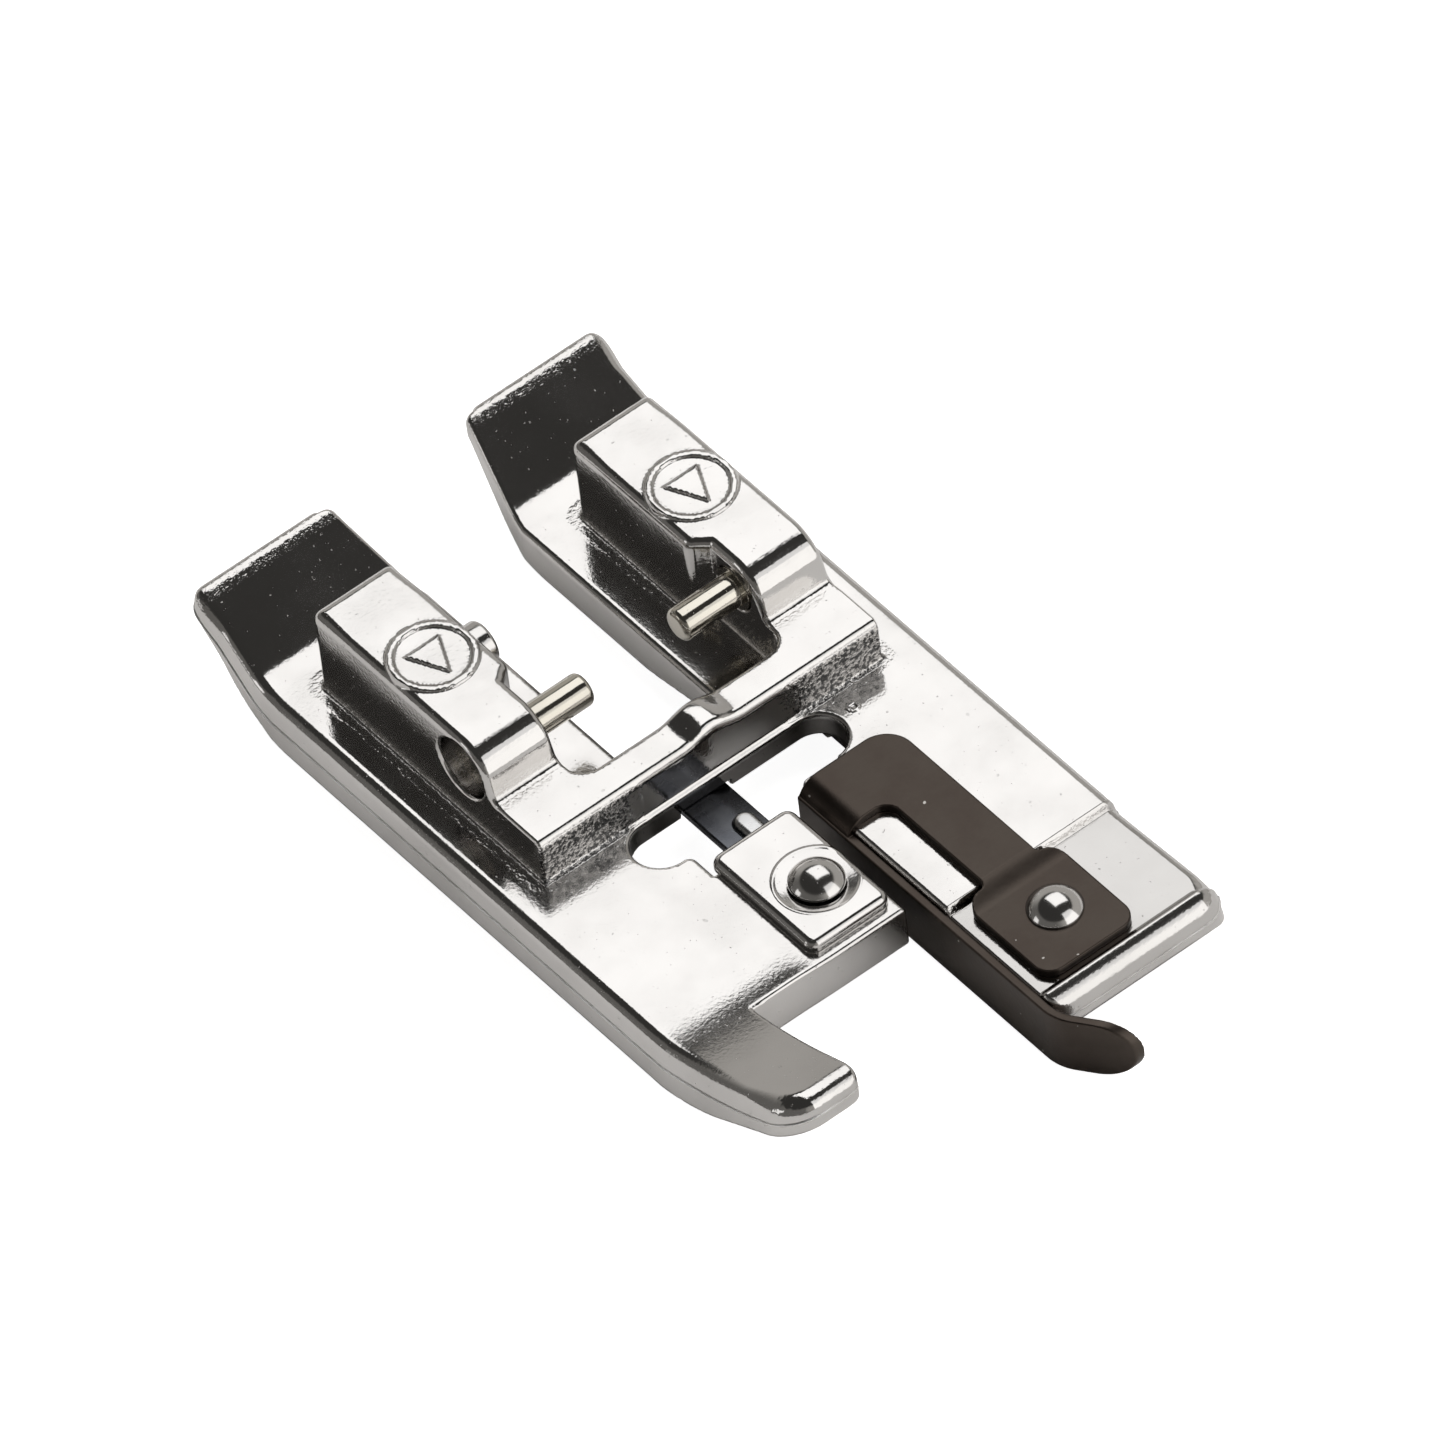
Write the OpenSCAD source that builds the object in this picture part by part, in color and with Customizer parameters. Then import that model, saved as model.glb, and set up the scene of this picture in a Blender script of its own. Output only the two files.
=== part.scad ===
// Clip-on overcasting presser foot for a dual-feed sewing machine.
// Drawn with y = 0 on the bridge's front face, toes towards -Y, heels towards +Y,
// the guide on the +X side and the sole's underside on z = 0. seat() then moves
// everything so that the origin is below the middle of the foot, at the height of
// the guide blade's lower edge.

/* [Sole] */
// Width of the sole at its underside
sole_w = 22.1; // [21.5:0.1:22.5]
// Width of the flat top of the sole, inside the sloping sides
deck_w = 20.3; // [19.8:0.1:20.5]
// Thickness of the sole
sole_t = 2.2; // [2.1:0.05:2.3]
// Width of the channel between the two rails
channel_w = 4.8; // [4.4:0.1:5]
// Height of the stitch tunnel under the needle opening
tunnel_h = 0.95; // [0.85:0.05:1.05]

/* [Heels] */
// Rear end of the heels
heel_end_y = 20.55; // [20:0.05:21]
// Where the top of the heels starts to rise
heel_bend_y = 16; // [15.5:0.1:16.5]
// Slope of the top of the heels, in degrees
heel_slope = 29; // [27:1:31]

/* [Toes] */
// Front end of the left toe
left_toe_y = -17.9; // [-18.2:0.1:-17.5]
// Inner side of the left toe
left_toe_x = -6.65; // [-6.8:0.05:-6.5]
// Slope of the upswept left toe, in degrees
toe_slope = 23; // [20:1:25]
// Front end of the right toe
right_toe_y = -19.2; // [-19.4:0.1:-19]
// Front end of the middle tongue
tongue_y = -10.95; // [-11.1:0.05:-10.8]

/* [Hinge blocks] */
// Outer face of each block, from the middle
block_out = 8.72; // [8.6:0.02:8.9]
// Inner face of each block, behind the pins
block_in = 4.6; // [4.5:0.05:4.8]
// Inner face of each block beside the pins
pin_face = 5.3; // [5.2:0.05:5.4]
// Rear end of the blocks
block_end_y = 14.47; // [14:0.01:14.8]
// Height of the blocks' top above the underside
block_z = 6.7; // [6.6:0.05:6.9]

/* [Bridge] */
// Thickness of the bridge, front to back
bridge_t = 1.75; // [1.6:0.05:1.9]
// Height of the bridge's top
bridge_z = 4.45; // [4.3:0.05:4.55]

/* [Pins and rivets] */
// Height of the hinge pins' axis
pin_z = 4.92; // [4.88:0.02:4.96]
// Place of the hinge pins' axis, front to back
pin_y = 5; // [4.95:0.05:5]
// Radius of the pins' free ends
pin_r = 0.75; // [0.7:0.01:0.76]
// Gap between the two pins' ends
pin_gap = 4.66; // [4.4:0.02:5]
// Radius of the rivets' domed heads
dome_r = 1.18; // [1.1:0.02:1.25]

/* [Edge guide] */
// Thickness of the guide's sheet
sheet_t = 0.4; // [0.35:0.05:0.45]
// Outer face of the guide's upright blade
blade_x = 1.65; // [1.6:0.01:1.66]
// How far the blade reaches below the sole
blade_drop = 1; // [0.6:0.1:1.2]

/* [Hidden] */
$fn = 64;
chrome = [0.80, 0.80, 0.81];
steel = [0.62, 0.60, 0.55];
blued = [0.16, 0.13, 0.11];

half = sole_w / 2;
rail_in = channel_w / 2;
slack = 0.02;          // clearance round everything that is pressed or riveted in
eps = 0.01;

// the blade's slot, between the tongue and the right toe
slot_left = 0.95;
slot_right = 2.07;

// the pins are pressed in from outside, each with a counterbore behind it
pin_shank_r = 1;
bore_mouth_r = 1.42;
bore_mouth_x = 7.5;
tip_round = 0.2;
stud_r = 1;
stud_at = [9.4, 5.3];
stud_end = 3.85;
stud_root = 6.1;

// the rivets' shanks, their closed ends and the places they stand
shank_r = 0.6;
tail_r = 1;
tail_t = 0.35;
tail_pocket = 0.5;
dome_h = 0.75;
finger_at = [-1, -7.8];
guide_at = [5.33, -15];

// the clamp plate, and the finger in its groove below
plate_t = 0.6;
finger_t = 0.4;
groove = [-1.95, 0.6];
groove_y = [-9.6, 1.6];
groove_z = 1.3;
finger_low = groove_z - finger_t;

// the guide's pad lies in the right toe's recess
recess_z = 1.8;
recess_y = -12;
lip_y = -17.85;

// the blade: its rear end, its top edge, and the curve to its round tip
blade_rear = -3.15;
blade_z = 1.94;
curl_y = -18.6;
curl_r = 2.3;
curl_turn = 35;
curl_run = 2.6;
front_y = curl_y - curl_r * sin(curl_turn) - curl_run * cos(curl_turn);
mid_y = round(50 * (heel_end_y + front_y)) / 100;   // to 0.01 mm

// Moves a sub-part from the drawing's datum to the foot's own origin
module seat() translate([0, -mid_y, blade_drop]) children();

// A section drawn in Y-Z, run along X from x0 to x1
module along_x(x0, x1)
    translate([x0, 0, 0]) rotate([90, 0, 90]) linear_extrude(x1 - x0) children();

// A section drawn in X-Z, run along Y from y0 to y1
module along_y(y0, y1)
    translate([0, y1, 0]) rotate([90, 0, 0]) linear_extrude(y1 - y0) children();

// A plan drawn in X-Y, raised from z0 to z1
module raised(z0, z1) translate([0, 0, z0]) linear_extrude(z1 - z0) children();

// A rod along X between a and b, at [y, z]
module rod_x(a, b, at, r)
    translate([min(a, b), at.x, at.y]) rotate([0, 90, 0]) cylinder(h = abs(b - a), r = r);

// A rectangle from its two corners
module box2(a, b) translate(a) square(b - a);

// The same on both sides of the middle
module both() {
    children();
    mirror([1, 0, 0]) children();
}

// A rectangle from its two corners, with exact round corners
module round_box2(a, b, r) {
    box2([a.x + r, a.y], [b.x - r, b.y]);
    box2([a.x, a.y + r], [b.x, b.y - r]);
    for (x = [a.x + r, b.x - r], y = [a.y + r, b.y - r])
        translate([x, y]) circle(r);
}

function arc(at, r, a0, a1, steps) =
    [for (i = [0:steps]) let (a = a0 + (a1 - a0) * i / steps)
        [at.x + r * cos(a), at.y + r * sin(a)]];

// Height gained at y on a surface that turns up at start, by an arc and then a slope
function rise(y, start, r, turn) =
    let (run = r * sin(turn), d = abs(y - start))
    d < run ? r - sqrt(r * r - d * d)
            : r * (1 - cos(turn)) + (d - run) * tan(turn);

// ---------------------------------------------------------------- foot body

tunnel_end_y = 8.3;
heel_arc_y = 14;
heel_arc_r = 6;
heel_arc_turn = 38;
heel_nose_r = 0.72;
heel_corner_r = 0.7;
heel_tip = [3.4, 10.65];
toe_under_y = -10;
toe_under_r = 9;
toe_over_y = -9.6;
toe_over_r = 14;
toe_over_turn = toe_slope - 3;
toe_edge_r = 0.5;

// The rails' section: flat sole, with a heel that rises to a rounded nose
module rail_section(front) {
    nose_y = heel_end_y - heel_nose_r;
    top = sole_t + (nose_y - heel_bend_y) * tan(heel_slope);
    nose_z = top - heel_nose_r / cos(heel_slope);
    polygon(concat(
        [[front, 0]],
        arc([heel_arc_y, heel_arc_r], heel_arc_r, -90, heel_arc_turn - 90, 12),
        [[heel_end_y - 0.2, rise(heel_end_y - 0.2, heel_arc_y, heel_arc_r, heel_arc_turn)]],
        arc([nose_y, nose_z], heel_nose_r, 0, 90 + heel_slope, 8),
        [[heel_bend_y, sole_t], [front, sole_t]]));
}

// The left toe's section: it sweeps up to a blunt rounded tip
module left_toe_section() {
    tip = left_toe_y + toe_edge_r;
    low = rise(left_toe_y, toe_under_y, toe_under_r, toe_slope);
    high = sole_t + rise(tip, toe_over_y, toe_over_r, toe_over_turn);
    polygon(concat(
        [[0, sole_t]],
        arc([toe_over_y, sole_t + toe_over_r], toe_over_r, -90, -90 - toe_over_turn, 10),
        arc([tip, high - toe_edge_r], toe_edge_r, 90 + toe_over_turn, 180, 6),
        [[left_toe_y, low]],
        arc([toe_under_y, toe_under_r], toe_under_r, -90 - toe_slope, -90, 10),
        [[0, 0]]));
}

// The right toe's section: flat, with a recess for the guide behind a rounded lip
module right_toe_section() {
    lip_r = 0.75;
    under_r = 1.1;
    polygon(concat(
        [[0, 0], [0, sole_t], [recess_y, sole_t], [recess_y, recess_z],
         [lip_y, recess_z]],
        arc([right_toe_y + lip_r, sole_t - lip_r], lip_r, 45, 180, 8),
        arc([right_toe_y + under_r, under_r], under_r, 180, 270, 6)));
}

// Plan of one rail, from the bridge to its narrower heel, on the +X side
module rail_plan() {
    r = heel_corner_r;
    back = heel_end_y - r;
    polygon([[rail_in, 0], [half, 0], [half, 15], [heel_tip.y, back],
             [heel_tip.x, back], [rail_in, 15.5]]);
    box2([heel_tip.x + r, back - 1], [heel_tip.y - r, heel_end_y]);
    for (x = [heel_tip.x + r, heel_tip.y - r])
        translate([x, back]) circle(r);
}

// Plan of the left toe: its outer side tapers to a large round corner
module left_toe_plan() {
    outer_r = 1.9;
    inner_r = 0.7;
    side = -10.55;
    base = -6.85;
    polygon([[-half, 0], [-half, -10], [side, left_toe_y + outer_r],
             [left_toe_x, left_toe_y + inner_r], [base, tongue_y], [base, 0]]);
    box2([side + outer_r, left_toe_y], [left_toe_x - inner_r, left_toe_y + 3]);
    translate([side + outer_r, left_toe_y + outer_r]) circle(outer_r);
    translate([left_toe_x - inner_r, left_toe_y + inner_r]) circle(inner_r);
}

module right_toe_plan() {
    r = 1;
    side = 10.75;
    back = right_toe_y + r;
    polygon([[slot_right, 0], [slot_right, back], [side, back], [half, -12], [half, 0]]);
    box2([slot_right + r, right_toe_y], [side - r, back + 1]);
    for (x = [slot_right + r, side - r])
        translate([x, back]) circle(r);
}

// Needle opening: two rounded lobes and a square middle that runs under the plate
module needle_opening() {
    rear = -0.2;
    left = [-3.95, -1.5];
    right = [4.1, -1.45];
    translate(left) circle(1.3);
    translate(right) circle(1.25);
    box2([left.x, -2.8], [right.x, rear]);
    box2([-3.5, -4.3], [slot_right, rear]);
}

// The corner cut off each upper side of the sole
module side_slope(y0, y1)
    along_y(y0, y1)
        polygon([[deck_w / 2, sole_t + eps], [10.5, 1.85], [10.88, 1.1], [half, 0],
                 [half + 1, 0], [half + 1, sole_t + 1], [deck_w / 2, sole_t + 1]]);

module sole() {
    difference() {
        union() {
            intersection() {
                raised(-1, 9) both() rail_plan();
                along_x(-half, half) rail_section(-eps);
            }
            raised(0, sole_t) {
                box2([-half, tongue_y], [slot_left, bridge_t]);
                box2([slot_right, tongue_y], [half, bridge_t]);
            }
            intersection() {
                raised(-1, 9) left_toe_plan();
                along_x(-half, left_toe_x) left_toe_section();
            }
            intersection() {
                raised(-1, 9) right_toe_plan();
                along_x(slot_right, half) right_toe_section();
            }
        }
        both() {
            side_slope(-25, heel_bend_y);
            translate([0, heel_bend_y, sole_t]) rotate([heel_slope, 0, 0])
                translate([0, 0, -sole_t]) side_slope(0, 8);
        }
        raised(-1, 9) needle_opening();
        // the stitch tunnel, which runs out to the sole behind the bridge
        along_x(-5.6, 5.6)
            polygon([[-3.4, -1], [-3.4, tunnel_h], [bridge_t + 1, tunnel_h],
                     [tunnel_end_y, 0], [tunnel_end_y, -1]]);
    }
}

// Plan of one block with the foot of the bridge, on the +X side
module block_plan() {
    polygon([[pin_face, 0], [block_out, 0], [block_out, block_end_y],
             [block_in, block_end_y], [block_in, 7.1], [block_in + 0.2, 6.7],
             [pin_face, 6.4]]);
    difference() {
        box2([pin_face - 1, bridge_t - eps], [pin_face + eps, bridge_t + 1]);
        translate([pin_face - 1, bridge_t + 1]) circle(1);
    }
}

// The blocks' front is rounded about the pins' axis
module blocks() {
    roll_r = 1.8;
    foot_y = 3;
    intersection() {
        raised(sole_t - 0.2, block_z) both() block_plan();
        along_x(-block_out, block_out)
            polygon(concat([[0, 0], [0, bridge_z], [foot_y, bridge_z]],
                           arc([pin_y, block_z - roll_r], roll_r, 165, 90, 10),
                           [[block_end_y, block_z], [block_end_y, 0]]));
    }
}

module bridge() {
    hump_w = 3.2;
    hump_h = 0.4;
    hump_r = (hump_w * hump_w / 4 + hump_h * hump_h) / (2 * hump_h);
    raised(tunnel_h, bridge_z) box2([-pin_face, 0], [pin_face, bridge_t]);
    intersection() {
        translate([0.2, bridge_t, bridge_z + hump_h - hump_r])
            rotate([90, 0, 0]) cylinder(h = bridge_t, r = hump_r);
        raised(bridge_z - 0.2, bridge_z + 1) box2([-3, 0], [3, bridge_t]);
    }
}

// Raised ring with a plain arrowhead that points to the front
module direction_mark() {
    at = [(block_in + block_out) / 2, 9];
    raised(block_z - 0.1, block_z + 0.15) translate(at) {
        difference() {
            circle(1.88);
            circle(1.6);
        }
        polygon([[0, -1.1], [0.85, 0.7], [-0.85, 0.7]]);
    }
}

module rivet_hole(at)
    translate([at.x, at.y, -1]) cylinder(h = 9, r = shank_r + slack);

module foot_body() color(chrome) seat() difference() {
    union() {
        sole();
        blocks();
        bridge();
        both() direction_mark();
    }
    for (side = [-1, 1]) {
        rod_x(side * 4, side * 9, [pin_y, pin_z], pin_shank_r + slack);
        rod_x(side * bore_mouth_x, side * 9, [pin_y, pin_z], bore_mouth_r);
    }
    rod_x(-stud_root - 0.1, -4, stud_at, shank_r + slack);
    raised(-1, groove_z) box2([groove.x, groove_y[0]], [groove.y, groove_y[1]]);
    rivet_hole(finger_at);
    rivet_hole(guide_at);
    translate([guide_at.x, guide_at.y, -eps])
        cylinder(h = tail_pocket + eps, r = tail_r + slack);
}

// --------------------------------------------------------- pins and rivets

// A round end, turned about Z: flat face on z = 0, rounded edge at z = h
module round_end(r, h)
    rotate_extrude()
        polygon(concat([[0, 0], [r, 0]],
                       arc([r - tip_round, h - tip_round], tip_round, 0, 90, 6),
                       [[0, h]]));

// The pin of the +X side: a pressed shank, and a free end towards the middle
module hinge_pin() {
    rod_x(pin_face, bore_mouth_x, [pin_y, pin_z], pin_shank_r);
    translate([pin_face, pin_y, pin_z]) rotate([0, -90, 0])
        round_end(pin_r, pin_face - pin_gap / 2);
}

module left_hinge_pin() color(steel) seat() mirror([1, 0, 0]) hinge_pin();

module right_hinge_pin() color(steel) seat() hinge_pin();

module locating_stud() color(chrome) seat() {
    rod_x(-stud_root, -block_in, stud_at, shank_r);
    translate([-block_in, stud_at.x, stud_at.y]) rotate([0, 90, 0])
        round_end(stud_r, block_in - stud_end);
}

// A domed rivet, from its closed end at z0 to its head on z1
module domed_rivet(at, z0, z1) translate([at.x, at.y, 0]) {
    ball = (dome_r * dome_r + dome_h * dome_h) / (2 * dome_h);
    translate([0, 0, z0]) cylinder(h = tail_t, r = tail_r);
    translate([0, 0, z0]) cylinder(h = z1 - z0, r = shank_r);
    intersection() {
        translate([0, 0, z1 + dome_h - ball]) sphere(r = ball);
        translate([0, 0, z1]) cylinder(h = 2, r = 2);
    }
}

module finger_rivet() color(chrome) seat()
    domed_rivet(finger_at, finger_low - tail_t, sole_t + plate_t);

module guide_rivet() color(chrome) seat()
    domed_rivet(guide_at, tail_pocket - tail_t, recess_z + sheet_t);

// ------------------------------------------------------- finger and plate

// A flat bar in the tongue's groove, with a round end under the bridge
module stitch_finger() color(blued) seat() difference() {
    raised(finger_low, groove_z)
        round_box2([-1.85, -9.4], [0.5, 1.5], 0.6);
    rivet_hole(finger_at);
}

// The plate on the tongue has a bevel along its four top edges
module finger_clamp_plate() color(chrome) seat() {
    low = [-3.4, -10.4];
    high = [0.75, -3.85];
    bevel = 0.3;
    top = sole_t + plate_t;
    difference() {
        intersection() {
            raised(sole_t, top) round_box2(low, high, 0.5);
            along_x(low.x, high.x)
                polygon([[low.y, 0], [low.y, top - bevel], [low.y + bevel, top],
                         [high.y - bevel, top], [high.y, top - bevel], [high.y, 0]]);
            along_y(low.y, high.y)
                polygon([[low.x, 0], [low.x, top - bevel], [low.x + bevel, top],
                         [high.x - bevel, top], [high.x, top - bevel], [high.x, 0]]);
        }
        rivet_hole(finger_at);
    }
}

// ------------------------------------------------------------- edge guide

bend_r = 1.1;
bend_end = -6.28;
strip = [3.87, 6.53];
deck_round = 1.3;
joggle_y = recess_y + 0.15;

// The blade's straight part, its curve and its straight end, seen from above
module blade_plan() {
    mid = [blade_x + curl_r, curl_y];
    away = [-cos(curl_turn), -sin(curl_turn)];
    box2([blade_x, curl_y], [blade_x + sheet_t, blade_rear]);
    intersection() {
        translate(mid) difference() {
            circle(curl_r);
            circle(curl_r - sheet_t);
        }
        polygon([mid, mid + [-9, 0], mid + [-9, -6], mid + 9 * away]);
    }
    translate(mid + curl_r * away) rotate(curl_turn - 90)
        square([curl_run, sheet_t]);
}

// The blade's outline from the side: a long bar with a round end
module blade_side() {
    mid_z = (blade_z - blade_drop) / 2;
    r = (blade_z + blade_drop) / 2;
    box2([front_y + r, -blade_drop], [blade_rear, blade_z]);
    translate([front_y + r, mid_z]) circle(r);
}

module edge_guide() color(blued) seat() difference() {
    top = sole_t + sheet_t;
    union() {
        intersection() {
            raised(-blade_drop, blade_z) blade_plan();
            along_x(0, 6) blade_side();
        }
        // the quarter-round bend between the blade and the flat
        intersection() {
            translate([blade_x + bend_r, blade_rear, top - bend_r])
                rotate([90, 0, 0]) difference() {
                    cylinder(h = blade_rear - bend_end, r = bend_r);
                    translate([0, 0, -1]) cylinder(h = 9, r = bend_r - sheet_t);
                }
            raised(top - bend_r, top) box2([blade_x, bend_end], [blade_x + bend_r, 0]);
        }
        raised(sole_t, top) {
            box2([blade_x + bend_r, bend_end], [strip.x, blade_rear]);
            box2([strip.x, joggle_y + 0.4], [strip.y, blade_rear - deck_round]);
            box2([strip.x, blade_rear - 2], [strip.y - deck_round, blade_rear]);
            translate([strip.y - deck_round, blade_rear - deck_round]) circle(deck_round);
        }
        // the joggle down into the toe's recess
        along_x(strip.x, strip.y)
            polygon([[joggle_y + 0.4, sole_t], [joggle_y + 0.4, top], [joggle_y, top],
                     [joggle_y - 0.6, recess_z + sheet_t],
                     [joggle_y - 1.2, recess_z + sheet_t], [joggle_y - 1.2, recess_z],
                     [joggle_y - 0.75, recess_z], [joggle_y - 0.2, sole_t]]);
        raised(recess_z, recess_z + sheet_t)
            round_box2([2.71, -17.7], [7.53, joggle_y - 0.6], 0.9);
    }
    rivet_hole(guide_at);
}

foot_body();
left_hinge_pin();
right_hinge_pin();
locating_stud();
stitch_finger();
finger_clamp_plate();
finger_rivet();
edge_guide();
guide_rivet();
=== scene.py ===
"""Clip-on overcasting presser foot: the visible model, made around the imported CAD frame.

Shapes are signed distance fields in the drawing's own millimetres: y = 0 on the bridge's
front face, z = 0 on the sole's underside, the guide on the +X side.
"""
import math

import bpy
import numpy as np
from mathutils import Matrix, Vector


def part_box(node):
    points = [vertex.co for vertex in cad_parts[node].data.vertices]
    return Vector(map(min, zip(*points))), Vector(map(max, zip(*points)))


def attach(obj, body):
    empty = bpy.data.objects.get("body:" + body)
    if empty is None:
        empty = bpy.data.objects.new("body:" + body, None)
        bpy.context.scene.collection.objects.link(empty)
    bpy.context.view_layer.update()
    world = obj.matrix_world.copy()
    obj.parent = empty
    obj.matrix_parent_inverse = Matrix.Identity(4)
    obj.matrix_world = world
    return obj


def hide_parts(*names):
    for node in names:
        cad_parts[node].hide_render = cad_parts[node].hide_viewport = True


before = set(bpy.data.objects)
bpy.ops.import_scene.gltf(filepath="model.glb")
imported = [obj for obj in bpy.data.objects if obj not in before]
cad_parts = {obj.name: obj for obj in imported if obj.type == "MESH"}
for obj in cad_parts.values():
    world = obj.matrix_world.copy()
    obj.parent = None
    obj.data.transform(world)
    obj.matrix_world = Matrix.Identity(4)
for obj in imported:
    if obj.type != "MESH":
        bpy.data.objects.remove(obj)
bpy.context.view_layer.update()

MM = 0.001
HEEL_END = 20.55          # rear end of the heels in the drawing


def corners(node):
    """A CAD node's lowest and highest corners, in millimetres of the frame."""
    low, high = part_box(node)
    return np.array(low) / MM, np.array(high) / MM


BODY_LOW, BODY_HIGH = corners("foot_body")
DATUM = np.array([0, BODY_HIGH[1] - HEEL_END, BODY_LOW[2]])   # drawing to frame

# ------------------------------------------------------------------ camera

TOWARDS = Vector((-0.3678, -0.5575, 0.7443))     # from the object to the camera
RIGHT = Vector((0.7749, -0.6262, -0.0861))
UP = Vector((0.5141, 0.5451, 0.6623))
AIM = Vector(DATUM) + 0.11 * RIGHT + 3.37 * UP   # what the middle of the picture shows
DISTANCE = 1111
VIEW_WIDTH = 57.8                                # of the picture, at the object
SENSOR = 36


def add_camera():
    """A long lens at the photograph's viewing angle."""
    data = bpy.data.cameras.new("camera")
    data.sensor_width = SENSOR
    data.lens = SENSOR * DISTANCE / VIEW_WIDTH
    data.clip_start = 0.01
    camera = bpy.data.objects.new("camera", data)
    turn = Matrix((RIGHT, UP, TOWARDS)).transposed().to_4x4()
    camera.matrix_world = Matrix.Translation((AIM + DISTANCE * TOWARDS) * MM) @ turn
    bpy.context.collection.objects.link(camera)
    bpy.context.scene.camera = camera


add_camera()

# ------------------------------------------------- signed distance fields


def hypot(a, b):
    return np.sqrt(a * a + b * b)


def meet(a, b, r=0.0):
    """What lies in both shapes, with the edge between them rounded to radius r."""
    if np.isscalar(r) and r == 0:
        return np.maximum(a, b)
    return np.minimum(np.maximum(a, b), -r) + hypot(np.maximum(a + r, 0), np.maximum(b + r, 0))


def join(a, b, r=0.0):
    """Both shapes together, with a fillet of radius r between them."""
    return -meet(-a, -b, r)


def cut(a, b, r=0.0):
    """The first shape without the second, with the new edge rounded to radius r."""
    return meet(a, -b, r)


def rectangle(u, v, low, high, r=0.0):
    """A rectangle from its two corners, with corners of radius r."""
    du = np.abs(u - (low[0] + high[0]) / 2) - ((high[0] - low[0]) / 2 - r)
    dv = np.abs(v - (low[1] + high[1]) / 2) - ((high[1] - low[1]) / 2 - r)
    return hypot(np.maximum(du, 0), np.maximum(dv, 0)) + np.minimum(np.maximum(du, dv), 0) - r


def circle(u, v, at, r):
    return hypot(u - at[0], v - at[1]) - r


def slab(w, low, high):
    return np.maximum(low - w, w - high)


def outline(u, v, points):
    """Exact distance to a polygon, negative inside."""
    nearest = None
    inside = None
    for (ax, ay), (bx, by) in zip(points, points[1:] + points[:1]):
        ex, ey = bx - ax, by - ay
        wx, wy = u - ax, v - ay
        t = np.clip((wx * ex + wy * ey) / (ex * ex + ey * ey), 0, 1)
        gap = (wx - ex * t) ** 2 + (wy - ey * t) ** 2
        if ey == 0:
            crosses = np.zeros(np.broadcast(u, v).shape, bool)
        else:
            crosses = ((ay > v) != (by > v)) & (u < ax + ex * (v - ay) / ey)
        nearest = gap if nearest is None else np.minimum(nearest, gap)
        inside = crosses if inside is None else inside ^ crosses
    return np.where(inside, -1, 1) * np.sqrt(nearest)


def arc(at, r, start, end, steps=8):
    """Points along an arc, with its angles in degrees."""
    angles = [math.radians(start + (end - start) * i / steps) for i in range(steps + 1)]
    return [(at[0] + r * math.cos(a), at[1] + r * math.sin(a)) for a in angles]


def ease(value, low, high):
    """A smooth step from 0 at low to 1 at high."""
    share = np.clip((value - low) / (high - low), 0, 1)
    return share * share * (3 - 2 * share)


def rise(run, r, slope):
    """Height and angle of a surface that turns up by an arc of radius r to a slope."""
    turn = math.radians(slope)
    angle = np.arcsin(np.clip(run / r, 0, math.sin(turn)))
    beyond = np.maximum(run - r * math.sin(turn), 0)
    return r * (1 - np.cos(angle)) + beyond * math.tan(turn), angle


# --------------------------------------------------------------- foot body

SOLE_HALF = 11.05
SOLE_T = 2.2
CHANNEL = 2.4             # half the gap between the rails
TUNNEL_Z = 0.95
GROOVE_Z = 1.3
TONGUE = -10.95
BRIDGE_T = 1.75
BRIDGE_Z = 4.45
HUMP = 0.42               # how much higher the bridge is in its middle
BLOCK_IN, BLOCK_OUT, BLOCK_END, BLOCK_Z = 4.6, 8.72, 14.47, 6.7
PIN_FACE, PIN_END = 5.3, 2.33
PIN_AT = (5, 4.92)        # y, z
BORE_R, BORE_END = 1.02, 4.5
MOUTH_R, MOUTH_END = 1.42, 7.5
HEEL_BEND, HEEL_LEAD, HEEL_R, HEEL_SLOPE = 16, 0.65, 2.5, 29
# where the other surfaces turn up, by which radius, and to which slope in degrees
HEEL_UNDER = (14, 6, 38)
TOE_TOP = (-8.6, 20, 20)
TOE_UNDER = (-10, 9, 23)
TOE_SIDE = (2.5, 5)       # over which the left toe's rise fades in, left of the middle
TOE_SPLIT = -3            # x between what belongs to the left toe and to the right one
TOE_FRONT = -19.2         # front end of the right toe
RECESS = (-17.85, -12)
RECESS_FRONT_STEP, RECESS_REAR_STEP = 0.4, 0.25
RECESS_Z = 1.8
SLOT = (0.95, 2.07)
# depth below the top edge, and how far the sole's side stands in from its foot
SIDE_DEPTH = [0, 1.1, 2.2]
SIDE_INSET = [0.42, 0.15, 0]
SIDE_LEAN = 0.98          # cosine of the side's lean
SEAM_R = 0.05
SEAM_DEPTH = 1.1          # of the casting's parting line, on the sole's side
EDGE_R = 0.45             # of the sole's upper edge
ROLL_R = 1.8              # of the blocks' front, round the pins' axis
TUNNEL_SIDE, TUNNEL_FRONT = 5.6, -3.4
TUNNEL_FLARE = (2.75, 8.3)   # where its roof starts to fall, and where it ends

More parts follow.
